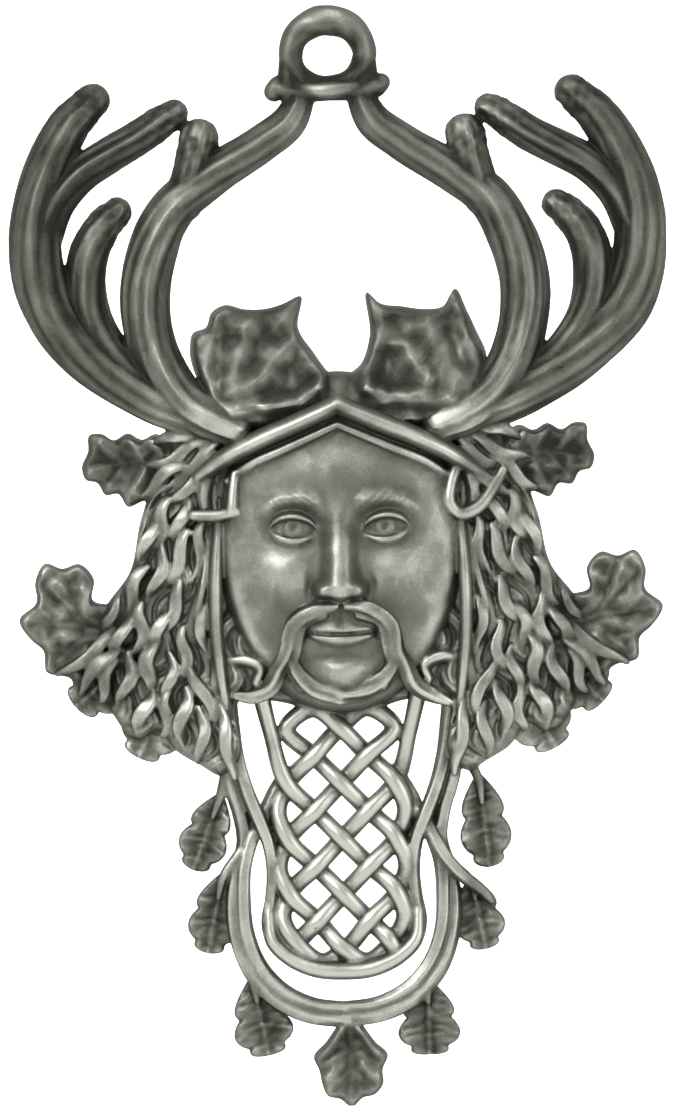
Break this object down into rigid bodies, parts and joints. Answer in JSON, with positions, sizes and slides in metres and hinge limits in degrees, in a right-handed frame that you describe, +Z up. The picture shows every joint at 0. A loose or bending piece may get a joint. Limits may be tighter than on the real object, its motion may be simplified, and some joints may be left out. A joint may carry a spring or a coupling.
{
  "type": "horned mask wall plaque",
  "caption": "Cast wall plaque: an antlered, bearded forest mask with oak leaves, a plaited openwork beard inside a vine, and a hanging ring.",
  "frame": {"origin": "top of the hanging ring's eye, where a nail carries the plaque, on the back plane", "axes": "+Z up, the front of the mask faces -Y, the flat back lies on the wall and faces +Y, +X to the right as seen from the front"},
  "size_m": [0.1198, 0.0205, 0.2006],
  "materials": {
    "antiqued_pewter": "cast pewter, blackened in the hollows and rubbed bright on the high places"
  },
  "bodies": {
    "root": {"mask_plaque": "antiqued_pewter"}
  },
  "joints": []
}
